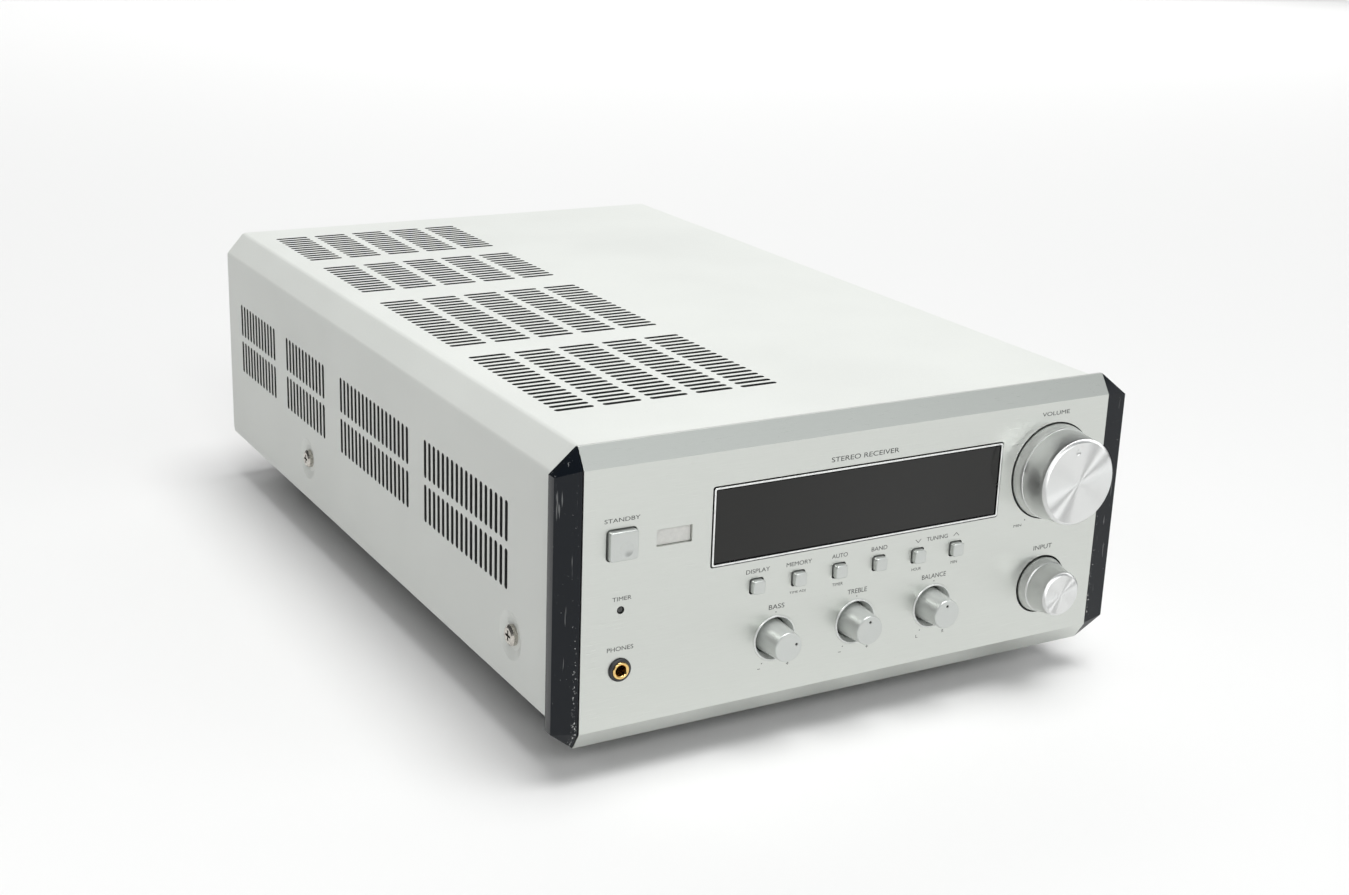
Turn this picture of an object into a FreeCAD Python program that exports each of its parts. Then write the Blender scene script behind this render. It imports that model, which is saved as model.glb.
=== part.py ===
"""Half-width stereo receiver: sheet-metal case, aluminium fascia, five turning knobs, seven
push buttons, rear sockets and the parts inside.

Millimetres. +Z is up, the fascia faces -Y and +X is to the right of someone who faces it.
The origin is the middle of the footprint, on the surface that the feet stand on.
Depths are measured backwards from the front face of the fascia.
"""
import FreeCAD
import Part
import math
import os

# ---------------------------------------------------------------- driving dimensions
TRIM_WIDTH = 217.0          # over the two black corner trims
COVER_WIDTH = 210.0         # over the cover's side walls
FOOT_HEIGHT = 11.0
BODY_HEIGHT = 97.0          # fascia, without the feet
OVERALL_DEPTH = 348.0       # volume knob to aerial socket
CASE_DEPTH = 326.0          # fascia's front face to the cover's rear edge
KNOB_REACH = 14.3           # volume knob in front of the fascia
SHEET = 1.0                 # cover, base and rear panel

FRONT = -OVERALL_DEPTH / 2 + KNOB_REACH
REAR = FRONT + CASE_DEPTH
REARMOST = OVERALL_DEPTH / 2
BOTTOM = FOOT_HEIGHT
TOP = BOTTOM + BODY_HEIGHT

# fascia
FASCIA_HALF = 99.6
FASCIA_PLATE = 4.0
FASCIA_RIM = 5.4
TOP_BEVEL = (4.3, 6.4)      # depth, height
BOTTOM_BEVEL = (4.0, 6.3)

# cover section
COVER_DROP = 1.0            # cover's top below the fascia's
COVER_CHAMFER = (7.3, 8.3)  # across, down
BASE_CHAMFER = 8.3
BEND_RADIUS = 2.2
FLANGE_OUT = 102.6          # outside of the base's upright side flanges
FLANGE_TOP = 44.0

# vent slots: 18 in the two front groups and 12 in the two rear ones
SLOT_WIDTH = 2.1
SLOT_PITCH = 3.84
VENT_GROUPS = ((40.3, 18), (121.8, 18), (206.5, 12), (264.8, 12))   # depth of first slot edge, count
SIDE_SLOT = 13.6
SIDE_ROWS = (BOTTOM + 39.5, BOTTOM + 55.5)                          # foot of each row
TOP_SLOT = 13.6
TOP_COLUMNS = tuple(-89.0 + 16.85 * i for i in range(5))            # left end of each column

# fascia layout: x and height of each centre
KNOB_COLUMN = 77.4
VOLUME_Z = BOTTOM + 66.45
LOW_ROW_Z = BOTTOM + 25.4
TONE_X = {"bass": -30.65, "treble": 0.3, "balance": 31.25}
TONE_REST = {"bass": 77.0, "treble": 0.0, "balance": -3.0}          # clockwise from the top
VOLUME_REST = -9.0
DISPLAY = (111.3, 26.5, 0.0, BOTTOM + 66.35)                        # opening: width, height, x, z
STANDBY = (-86.65, BOTTOM + 66.15)
SENSOR = (-68.6, BOTTOM + 66.0)
LED = (-86.4, BOTTOM + 44.95)
PHONES = (-86.25, BOTTOM + 25.4)
BUTTON_Z = BOTTOM + 44.6
BUTTON_X = tuple(-38.5 + 15.5 * i for i in range(6))
BUTTON_NAMES = ("display_button", "memory_button", "auto_button",
                "band_button", "preset_down_button", "preset_up_button")

# depths behind the fascia
SUBFRAME = (8.0, 9.2)
BOARD = (24.0, 25.6)
BUTTON_TRAVEL = 0.8

# turning parts
SHAFT_RADIUS = 3.0
RUNNING = 0.05              # radial clearance of a shaft in its bushing
TONE_RING_RADIUS = 7.75

# rear layout
REAR_PLATE = (REAR - 3.0, REAR - 2.0)
OUTSIDE = REAR_PLATE[1]
INLET = (-80.0, BOTTOM + 27.0)
SPEAKER_PITCH = 11.0
SPEAKER_X = tuple(-53.0 + SPEAKER_PITCH * i for i in range(4))
SPEAKER_DEPTH = 7.0         # terminal block behind the rear panel
WIRE_Z = BOTTOM + 26.0
SPEAKER_NAMES = ("speaker_lever_right_plus", "speaker_lever_right_minus",
                 "speaker_lever_left_minus", "speaker_lever_left_plus")
LEVER_PIVOT = (OUTSIDE + 3.0, BOTTOM + 34.0)
LEVER_LEAN = 25.0
PHONO_X = (12.0, 32.0, 52.0)
PHONO_Z = (BOTTOM + 22.0, BOTTOM + 38.0)
PHONO_RING, PHONO_NECK, PHONO_BORE = 4.15, 3.8, 1.65        # radii: ring outside, ring inside, pin hole
PHONO_SINK = 6.0                                            # how far each socket reaches in
AERIAL = (82.0, BOTTOM + 68.0)
LOOP_AERIAL = (82.0, BOTTOM + 44.0)

# fasteners
SCREW_SHANK = 1.4
SCREW_HOLE = 1.45
SIDE_SCREW_DEPTHS = (38.0, 228.0)
SIDE_SCREW_Z = BOTTOM + 25.0
DIMPLE = (8.2, 5.2, 1.2)    # outer radius, floor radius, depth
REAR_SCREWS = ((-96.0, 60.0), (96.0, 60.0), (-20.0, 16.6), (66.0, 16.6), (0.0, 98.0))
FEET = [(sx * 78.0, FRONT + d) for sx in (-1, 1) for d in (48.0, CASE_DEPTH - 42.0)]

V = FreeCAD.Vector
X_AXIS, Y_AXIS, Z_AXIS = V(1, 0, 0), V(0, 1, 0), V(0, 0, 1)


# ---------------------------------------------------------------- small helpers
def box(x0, x1, y0, y1, z0, z1):
    return Part.makeBox(x1 - x0, y1 - y0, z1 - z0, V(x0, y0, z0))


def rod_y(x, z, y0, y1, r):
    """Cylinder along Y."""
    return Part.makeCylinder(r, y1 - y0, V(x, y0, z), Y_AXIS)


def rod_x(y, z, x0, x1, r):
    return Part.makeCylinder(r, x1 - x0, V(x0, y, z), X_AXIS)


def rod_z(x, y, z0, z1, r):
    return Part.makeCylinder(r, z1 - z0, V(x, y, z0), Z_AXIS)


def prism(points, direction):
    """Solid from a closed outline of 3-D points, pushed along a vector."""
    corners = [V(*p) for p in points]
    return Part.Face(Part.makePolygon(corners + corners[:1])).extrude(direction)


def prism_x(outline, x0, x1):
    """Outline is (y, z) pairs."""
    return prism([(x0, y, z) for y, z in outline], V(x1 - x0, 0, 0))


def prism_y(outline, y0, y1):
    """Outline is (x, z) pairs."""
    return prism([(x, y0, z) for x, z in outline], V(0, y1 - y0, 0))


def turned(x, z, profile):
    """Solid of revolution about a line along Y; the profile is (depth, radius) pairs."""
    rim = [V(x, FRONT + depth, z + r) for depth, r in profile]
    ends = [V(x, FRONT + profile[-1][0], z), V(x, FRONT + profile[0][0], z)]
    outline = Part.Face(Part.makePolygon(rim + ends + rim[:1]))
    return outline.revolve(V(x, 0, z), Y_AXIS, 360)


def turned_rear(x, z, profile):
    """As turned, with depths measured outwards from the rear panel's outer face."""
    return turned(x, z, [(OUTSIDE + reach - FRONT, r) for reach, r in profile])


def slab(cx, cz, width, height, corner, y0, y1):
    """Rectangle with rounded corners in the fascia's plane, pushed along Y."""
    solid = box(cx - width / 2, cx + width / 2, y0, y1, cz - height / 2, cz + height / 2)
    along_y = [e for e in solid.Edges if abs(e.tangentAt(e.FirstParameter).y) > 0.9]
    return solid.makeFillet(corner, along_y)


def joined(solids):
    first, rest = solids[0], solids[1:]
    return first.fuse(rest).removeSplitter() if rest else first


def cut_all(solid, tools):
    return solid.cut(Part.makeCompound(tools))


def at(depth):
    return FRONT + depth


def clock(radius, degrees):
    """Offset in x and z, clockwise from the top as seen from the front."""
    angle = math.radians(degrees)
    return radius * math.sin(angle), radius * math.cos(angle)


def write(name, shape):
    if not shape.isValid():
        print("not valid:", name)
    shape.exportStep("parts/%s.step" % name)


# ---------------------------------------------------------------- fascia
def fascia_blank():
    """Extrusion section: a plate with bevelled top and bottom edges and a rim behind each."""
    outline = [
        (at(0), BOTTOM + BOTTOM_BEVEL[1]),
        (at(0), TOP - TOP_BEVEL[1]),
        (at(TOP_BEVEL[0]), TOP),
        (at(FASCIA_RIM), TOP),
        (at(FASCIA_RIM), TOP - 2.0),
        (at(FASCIA_PLATE), TOP - 5.0),
        (at(FASCIA_PLATE), BOTTOM + 5.0),
        (at(FASCIA_RIM), BOTTOM + 2.0),
        (at(FASCIA_RIM), BOTTOM),
        (at(BOTTOM_BEVEL[0]), BOTTOM),
    ]
    return prism_x(outline, -FASCIA_HALF, FASCIA_HALF)


def front_panel():
    y0, y1 = at(-1), at(FASCIA_RIM + 1)
    width, height, cx, cz = DISPLAY
    tools = [
        slab(cx, cz, width, height, 0.9, y0, y1),
        slab(*STANDBY, 10.5, 10.2, 1.5, y0, y1),
        slab(*SENSOR, 12.3, 5.5, 0.3, y0, y1),
        rod_y(*LED, y0, y1, 1.25),
        rod_y(*PHONES, y0, y1, 3.8),
        rod_y(KNOB_COLUMN, VOLUME_Z, y0, y1, 17.1),
        rod_y(KNOB_COLUMN, LOW_ROW_Z, y0, y1, 10.4),
    ]
    tools += [slab(x, BUTTON_Z, 5.2, 5.3, 1.0, y0, y1) for x in BUTTON_X]
    tools += [rod_y(x, LOW_ROW_Z, y0, y1, TONE_RING_RADIUS + 0.05) for x in TONE_X.values()]
    return cut_all(fascia_blank(), tools)


def corner_trim(side):
    """Black end cap: a wide front facet, a narrow side facet and a pointed facet at each end."""
    inner, outer = 99.75, TRIM_WIDTH / 2
    back, front_in, front_out = at(FASCIA_RIM), at(0.5), at(1.5)
    up, down = TOP - 7.6, BOTTOM + 7.6
    tip_up, tip_down = TOP - 0.1, BOTTOM + 0.1
    corner = {
        "front_up": (inner, front_in, TOP - TOP_BEVEL[1]),
        "front_down": (inner, front_in, BOTTOM + BOTTOM_BEVEL[1]),
        "edge_up": (outer, front_out, up),
        "edge_down": (outer, front_out, down),
        "back_up": (outer, back, up),
        "back_down": (outer, back, down),
        "tip_up": (inner, at(TOP_BEVEL[0]), tip_up),
        "tip_down": (inner, at(BOTTOM_BEVEL[0]), tip_down),
        "root_up": (inner, back, tip_up),
        "root_down": (inner, back, tip_down),
    }
    facets = (
        ("front_up", "front_down", "edge_down", "edge_up"),
        ("edge_up", "edge_down", "back_down", "back_up"),
        ("tip_up", "front_up", "edge_up"),
        ("tip_up", "edge_up", "back_up"),
        ("tip_up", "back_up", "root_up"),
        ("tip_down", "edge_down", "front_down"),
        ("tip_down", "back_down", "edge_down"),
        ("tip_down", "root_down", "back_down"),
        ("root_up", "back_up", "back_down", "root_down"),
        ("front_up", "tip_up", "root_up", "root_down", "tip_down", "front_down"),
    )
    faces = []
    for names in facets:
        points = [V(side * corner[n][0], corner[n][1], corner[n][2]) for n in names]
        faces.append(Part.Face(Part.makePolygon(points + points[:1])))
    cap = Part.makeSolid(Part.makeShell(faces))
    if cap.Volume < 0:
        cap.reverse()
    ends = sorted((side * 99.9, side * 101.0))
    tongue = box(*ends, at(FASCIA_RIM - 0.4), at(SUBFRAME[0]), BOTTOM + 18, TOP - 18)
    return joined([cap, tongue])


def display_bezel():
    width, height, cx, cz = DISPLAY
    frame = slab(cx, cz, width - 0.8, height - 0.8, 0.7, at(-0.35), at(FASCIA_PLATE))
    opening = slab(cx, cz, width - 2.0, height - 2.0, 0.4, at(-1), at(FASCIA_PLATE + 1))
    return frame.cut(opening)


def display_window():
    """Smoked pane with a dark groove round it, made by a wider flange behind."""
    width, height, cx, cz = DISPLAY
    pane = slab(cx, cz, width - 2.9, height - 2.9, 0.3, at(0.05), at(3.0))
    flange = slab(cx, cz, width - 2.1, height - 2.1, 0.3, at(1.2), at(3.0))
    return joined([pane, flange])


def display_module():
    """Fluorescent display: a flat glass envelope on a carrier that reaches the front board."""
    _, _, cx, cz = DISPLAY
    glass = box(cx - 52.5, cx + 52.5, at(4.6), at(9.6), cz - 12.0, cz + 12.0)
    carrier = box(cx - 49.0, cx + 49.0, at(9.6), at(BOARD[0]), cz - 10.0, cz + 10.0)
    hollow = box(cx - 47.0, cx + 47.0, at(11.0), at(BOARD[0] + 1), cz - 8.0, cz + 8.0)
    return joined([glass, carrier]).cut(hollow)


def sensor_window():
    pane = slab(*SENSOR, 12.1, 5.3, 0.3, at(1.1), at(FASCIA_PLATE))
    flange = box(SENSOR[0] - 8, SENSOR[0] + 8, at(FASCIA_PLATE), at(5.2), SENSOR[1] - 4.6, SENSOR[1] + 4.6)
    return joined([pane, flange])


def timer_led():
    lens = turned(*LED, [(4.6, 1.15), (0.75, 1.15), (0.4, 0.85), (0.25, 0.35)])
    body = rod_y(*LED, at(4.6), at(12.0), 1.5)
    legs = [box(LED[0] + s - 0.25, LED[0] + s + 0.25, at(12.0), at(BOARD[0]),
                LED[1] - 0.25, LED[1] + 0.25) for s in (-0.9, 0.9)]
    return joined([lens, body] + legs)


def tone_rings():
    """One dished ring round each tone knob, with a lip just proud of the fascia."""
    rings = []
    for x in TONE_X.values():
        blank = turned(x, LOW_ROW_Z, [
            (FASCIA_PLATE, TONE_RING_RADIUS), (-0.05, TONE_RING_RADIUS),
            (-0.25, TONE_RING_RADIUS - 0.2), (-0.25, TONE_RING_RADIUS - 0.5)])
        dish = turned(x, LOW_ROW_Z, [
            (FASCIA_PLATE + 1, 6.15), (2.7, 6.15), (-0.26, 7.22), (-1, 7.22)])
        rings.append(blank.cut(dish))
    return Part.makeCompound(rings)


# ---------------------------------------------------------------- structure behind the fascia
def front_subframe():
    y0, y1 = at(SUBFRAME[0]), at(SUBFRAME[1])
    low, high = BOTTOM + 1.2, TOP - 3.0
    right = [(94.0, low), (101.0, low + 8.0), (101.0, high - 9.0), (93.0, high)]
    plate = prism_y(right + [(-x, z) for x, z in reversed(right)], y0, y1)
    foot = box(-93.0, 93.0, y1 - 0.1, at(34.0), low, low + 1.2)
    sides = [box(min(s * 100.0, s * 101.0), max(s * 100.0, s * 101.0), y1 - 0.1, at(30.0), low + 8, high - 9)
             for s in (-1, 1)]
    posts = [rod_y(x, z, at(FASCIA_PLATE), y0 + 0.1, 2.5)
             for x in (-94.0, 94.0) for z in (BOTTOM + 10.0, TOP - 12.0)]
    frame = joined([plate, foot] + sides + posts)
    a, b = y0 - 1, y1 + 1
    _, _, cx, cz = DISPLAY
    tools = [
        box(cx - 53.5, cx + 53.5, a, b, cz - 13.0, cz + 13.0),
        box(STANDBY[0] - 1.8, STANDBY[0] + 1.8, a, b, STANDBY[1] - 1.8, STANDBY[1] + 1.8),
        box(SENSOR[0] - 5, SENSOR[0] + 5, a, b, SENSOR[1] - 3, SENSOR[1] + 3),
        rod_y(*LED, a, b, 1.8),
        rod_y(*PHONES, a, b, 4.0),
        rod_y(KNOB_COLUMN, VOLUME_Z, a, b, 4.5),
        rod_y(KNOB_COLUMN, LOW_ROW_Z, a, b, 4.5),
    ]
    tools += [box(x - 1.8, x + 1.8, a, b, BUTTON_Z - 1.8, BUTTON_Z + 1.8) for x in BUTTON_X]
    tools += [rod_y(x, LOW_ROW_Z, a, b, 4.0) for x in TONE_X.values()]
    return cut_all(frame, tools)


def front_board():
    board = box(-97.0, 97.0, at(BOARD[0]), at(BOARD[1]), BOTTOM + 4, TOP - 5)
    chips = [box(x, x + 14, at(BOARD[1] - 0.1), at(BOARD[1] + 2.2), z, z + 10)
             for x, z in ((-60, BOTTOM + 55), (-10, BOTTOM + 62), (40, BOTTOM + 40))]
    header = box(-12.0, 18.0, at(BOARD[1] - 0.1), at(BOARD[1] + 4.0), BOTTOM + 12, BOTTOM + 17)
    return joined([board, header] + chips)


def button_places():
    return [STANDBY] + [(x, BUTTON_Z) for x in BUTTON_X]


def tact_switches():
    switches = []
    for x, z in button_places():
        body = box(x - 3, x + 3, at(BOARD[0] - 3.5), at(BOARD[0]), z - 3, z + 3)
        switches.append(body.cut(rod_y(x, z, at(BOARD[0] - 4), at(BOARD[0] - 1.2), 1.5)))
    return Part.makeCompound(switches)


# ---------------------------------------------------------------- push buttons
def button(x, z, width, height, reach, dimple=None):
    """Cap, retaining flange behind the fascia, stem and the round tip that enters the switch."""
    cap = slab(x, z, width, height, 0.9, at(-reach), at(4.4))
    face_edges = [e for e in cap.Edges
                  if all(abs(p.Point.y - at(-reach)) < 1e-6 for p in e.Vertexes)]
    cap = cap.makeFillet(0.5, face_edges)
    if dimple:
        dx, dz, radius, sink = dimple
        ball = (radius ** 2 + sink ** 2) / (2 * sink)
        cap = cap.cut(Part.makeSphere(ball, V(x + dx, at(-reach + sink - ball), z + dz)))
    flange = box(x - width / 2 - 1.0, x + width / 2 + 1.0, at(4.3), at(5.3),
                 z - height / 2 - 1.0, z + height / 2 + 1.0)
    stem = box(x - 1.2, x + 1.2, at(5.2), at(17.0), z - 1.2, z + 1.2)
    tip = rod_y(x, z, at(16.9), at(BOARD[0] - 2.8), 1.1)
    return joined([cap, flange, stem, tip])


# ---------------------------------------------------------------- knobs, shafts and controls
def dished(knob, x, z, face_depth, radius, sink):
    """Shallow turned dish in a knob's face."""
    ball = (radius ** 2 + sink ** 2) / (2 * sink)
    return knob.cut(Part.makeSphere(ball, V(x, at(face_depth + sink - ball), z)))


def volume_knob():
    x, z = KNOB_COLUMN, VOLUME_Z
    knob = turned(x, z, [
        (1.8, 16.65), (0.0, 16.65), (-4.1, 16.0), (-4.2, 15.8),
        (-13.3, 15.0), (-KNOB_REACH, 14.05)])
    cavity = turned(x, z, [(2.8, 13.6), (-8.0, 13.2)])
    hub = turned(x, z, [(1.6, 5.4), (-8.1, 5.6)])
    knob = knob.cut(cavity).fuse(hub)
    knob = knob.cut(rod_y(x, z, at(-9.0), at(3.0), SHAFT_RADIUS))
    knob = dished(knob, x, z, -KNOB_REACH, 13.9, 0.25)
    dx, dz = clock(11.1, VOLUME_REST)
    return knob.cut(Part.makeSphere(1.6, V(x + dx, at(-KNOB_REACH - 1.0), z + dz)))


def input_knob():
    x, z = KNOB_COLUMN, LOW_ROW_Z
    knob = turned(x, z, [
        (1.8, 9.85), (0.0, 9.85), (-3.2, 9.05), (-3.5, 8.7), (-10.5, 7.75), (-11.3, 6.95)])
    knob = knob.cut(turned(x, z, [(2.8, 8.2), (-1.5, 7.8)]))
    knob = knob.fuse(turned(x, z, [(1.6, 5.0), (-1.6, 5.2)]))
    knob = knob.cut(rod_y(x, z, at(-8.0), at(3.0), SHAFT_RADIUS))
    return dished(knob, x, z, -11.3, 6.85, 0.15)


def tone_knob(name):
    x, z = TONE_X[name], LOW_ROW_Z
    knob = turned(x, z, [(3.2, 5.75), (-8.0, 4.95), (-8.3, 4.8), (-8.4, 4.55)])
    knob = knob.cut(rod_y(x, z, at(-5.5), at(4.0), SHAFT_RADIUS))
    dx, dz = clock(2.9, TONE_REST[name])
    return knob.cut(rod_y(x + dx, z + dz, at(-9.0), at(-8.1), 0.5))


def shaft(x, z, front_depth, back_depth):
    """Round control shaft with a small chamfer at its front end."""
    return turned(x, z, [
        (back_depth, SHAFT_RADIUS), (front_depth + 0.5, SHAFT_RADIUS), (front_depth, SHAFT_RADIUS - 0.5)])


def control_body(x, z, width, depth, bushing, front_depth, nut):
    """Case of a potentiometer or encoder with its bushing, and a nut where it has one."""
    bore = SHAFT_RADIUS + RUNNING
    back = SUBFRAME[1] + depth
    case = box(x - width / 2, x + width / 2, at(SUBFRAME[1]), at(back), z - width / 2, z + width / 2)
    neck = rod_y(x, z, at(front_depth), at(SUBFRAME[1] + 0.1), bushing)
    foot = z - width / 2
    pins = [box(x + dx - 0.4, x + dx + 0.4, at(back - 0.1), at(BOARD[0]), foot + 1, foot + 2)
            for dx in (-3.0, 0.0, 3.0)]
    body = joined([case, neck] + pins)
    if nut:
        flats = [(x + 5.6 * math.cos(math.radians(a)), z + 5.6 * math.sin(math.radians(a)))
                 for a in range(0, 360, 60)]
        body = joined([body, prism_y(flats, at(SUBFRAME[0] - 2.2), at(SUBFRAME[0]))])
    return body.cut(rod_y(x, z, at(front_depth - 1), at(back - 1.5), bore))


def volume_pot():
    return control_body(KNOB_COLUMN, VOLUME_Z, 20.0, 12.0, 4.4, 3.0, True)


def input_encoder():
    return control_body(KNOB_COLUMN, LOW_ROW_Z, 14.0, 8.0, 4.4, 3.0, True)


def tone_pots():
    return Part.makeCompound([
        control_body(x, LOW_ROW_Z, 10.0, 9.0, 3.9, 4.5, False) for x in TONE_X.values()])


# ---------------------------------------------------------------- headphone socket
def headphone_jack():
    x, z = PHONES
    collar = turned(x, z, [(10.0, 3.7), (-0.6, 3.7), (-0.9, 3.4), (-0.9, 3.0)])
    case = box(x - 6, x + 6, at(SUBFRAME[1] + 0.1), at(BOARD[0]), z - 6, z + 6)
    body = joined([collar, case])
    body = body.cut(rod_y(x, z, at(-1), at(14.0), 2.8))
    return body.cut(rod_y(x, z, at(13.0), at(18.0), 2.2))


def headphone_contact():
    x, z = PHONES
    sleeve = turned(x, z, [(13.9, 2.75), (-1.1, 2.75), (-1.3, 2.55)])
    sleeve = sleeve.cut(turned(x, z, [(-1.0, 1.8), (-1.4, 2.2)]))
    return sleeve.cut(rod_y(x, z, at(-2.0), at(15.0), 1.8))


# ---------------------------------------------------------------- case
def top_cover_blank():
    """Folded sheet: top, two chamfers, two sides and a short lip turned in under each side."""
    half, top = COVER_WIDTH / 2, TOP - COVER_DROP
    foot = BOTTOM + BASE_CHAMFER
    lip = 1.2
    across, down = COVER_CHAMFER
    slope = math.atan2(down, across)
    inner_top = SHEET * math.tan(slope / 2)
    inner_side = SHEET * math.tan((math.pi / 2 - slope) / 2)
    outer_right = [(half - across, top), (half, top - down), (half, foot), (half - lip, foot - lip)]
    inner_right = [
        (half - lip - SHEET * math.sin(math.pi / 4), foot - lip + SHEET * math.cos(math.pi / 4)),
        (half - SHEET, foot + SHEET * math.tan(math.pi / 8)),
        (half - SHEET, top - down - inner_side),
        (half - across - inner_top, top - SHEET),
    ]
    right = outer_right + inner_right
    left = [(-x, z) for x, z in reversed(right)]
    blank = prism_y(right + left, at(FASCIA_RIM + 0.1), REAR)
    bends = [e for e in blank.Edges
             if abs(e.tangentAt(e.FirstParameter).y) > 0.9 and e.Vertexes[0].Z > top - down - 3]
    outside = [e for e in bends if abs(e.Vertexes[0].Z - top) < 0.01
               or abs(abs(e.Vertexes[0].X) - half) < 0.01]
    inside = [e for e in bends if not any(e.isSame(o) for o in outside)]
    blank = blank.makeFillet(BEND_RADIUS, outside)
    found = []
    for old in inside:
        found += [e for e in blank.Edges if e.Length > 300
                  and abs(e.Vertexes[0].X - old.Vertexes[0].X) < 0.01
                  and abs(e.Vertexes[0].Z - old.Vertexes[0].Z) < 0.01]
    return blank.makeFillet(BEND_RADIUS - SHEET, found)


def obround_up(y, z0, length, width, x0, x1):
    """Upright slot tool through a side wall."""
    r = width / 2
    return joined([box(x0, x1, y - r, y + r, z0 + r, z0 + length - r),
                   rod_x(y, z0 + r, x0, x1, r), rod_x(y, z0 + length - r, x0, x1, r)])


def obround_across(x0, y, length, width, z0, z1):
    """Slot tool through the top, its length along X."""
    r = width / 2
    return joined([box(x0 + r, x0 + length - r, y - r, y + r, z0, z1),
                   rod_z(x0 + r, y, z0, z1, r), rod_z(x0 + length - r, y, z0, z1, r)])


def slot_depths():
    for first, count in VENT_GROUPS:
        for i in range(count):
            yield first + SLOT_WIDTH / 2 + i * SLOT_PITCH


def vent_tools():
    half, top = COVER_WIDTH / 2, TOP - COVER_DROP
    tools = []
    for depth in slot_depths():
        for x0 in (-half - 1, half - SHEET - 1):
            tools += [obround_up(at(depth), z, SIDE_SLOT, SLOT_WIDTH, x0, x0 + SHEET + 2)
                      for z in SIDE_ROWS]
        tools += [obround_across(x, at(depth), TOP_SLOT, SLOT_WIDTH, top - SHEET - 1, top + 1)
                  for x in TOP_COLUMNS]
    return tools


def side_cone(side, x_out, r_out, r_in, sink, depth):
    """Frustum that narrows inwards from a side wall, for a screw dimple."""
    return Part.makeCone(r_out, r_in, sink, V(side * x_out, at(depth), SIDE_SCREW_Z), V(-side, 0, 0))


def top_cover():
    half = COVER_WIDTH / 2
    cover = top_cover_blank()
    outer_r, floor_r, sink = DIMPLE
    cups, hollows = [], []
    for side in (-1, 1):
        for depth in SIDE_SCREW_DEPTHS:
            cups.append(side_cone(side, half - 0.2, outer_r + 0.6, floor_r + 0.6, sink + SHEET - 0.4, depth))
            hollows.append(side_cone(side, half, outer_r, floor_r, sink, depth))
            hollows.append(rod_x(at(depth), SIDE_SCREW_Z, *sorted((side * (half + 1), side * 100.0)), 1.6))
    cover = cover.fuse(cups)
    cover = cut_all(cover, hollows)
    corner = 5.0
    for side in (-1, 1):
        ends = sorted((side * (half - 1.5), side * (half + 1)))
        z0 = BOTTOM + BASE_CHAMFER - 1.5
        block = box(*ends, REAR - corner, REAR + 1, z0, z0 + corner)
        keep = rod_x(REAR - corner, z0 + corner, *ends, corner)
        cover = cover.cut(block.cut(keep))
    return cut_all(cover, vent_tools())


def chassis_base():
    half, chamfer = COVER_WIDTH / 2, BASE_CHAMFER
    reach = FLANGE_OUT - (half - chamfer)
    y0, y1 = at(FASCIA_RIM + 0.2), REAR_PLATE[0]
    k = SHEET * math.tan(math.pi / 8)
    right = [
        (half - chamfer, BOTTOM), (FLANGE_OUT, BOTTOM + reach), (FLANGE_OUT, FLANGE_TOP),
        (FLANGE_OUT - SHEET, FLANGE_TOP), (FLANGE_OUT - SHEET, BOTTOM + reach + k),
        (half - chamfer - k, BOTTOM + SHEET),
    ]
    tray = prism_y(right + [(-x, z) for x, z in reversed(right)], y0, y1)
    rear_flange = box(-90.0, 90.0, y1 - SHEET, y1, BOTTOM + SHEET - 0.1, BOTTOM + 13.0)
    standoffs = [rod_z(x, at(d), BOTTOM + SHEET - 0.1, BOTTOM + 6.0, 3.0)
                 for x in (-28.0, 90.0) for d in (148.0, 312.0)]
    base = joined([tray, rear_flange] + standoffs)
    tools = []
    for side in (-1, 1):
        for depth in SIDE_SCREW_DEPTHS:
            ends = sorted((side * (FLANGE_OUT - 3), side * (FLANGE_OUT + 1)))
            tools.append(rod_x(at(depth), SIDE_SCREW_Z, *ends, SCREW_HOLE))
    tools += [rod_z(x, y, BOTTOM - 1, BOTTOM + 2, SCREW_HOLE) for x, y in FEET]
    tools += [rod_y(x, z, y1 - 2, y1 + 1, SCREW_HOLE) for x, z in REAR_SCREWS if z < BOTTOM + 12]
    tools += [obround_across(x, at(80.0 + 6.0 * i), 30.0, 2.4, BOTTOM - 1, BOTTOM + 2)
              for x in (-80.0, 40.0) for i in range(9)]
    return cut_all(base, tools)


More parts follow.
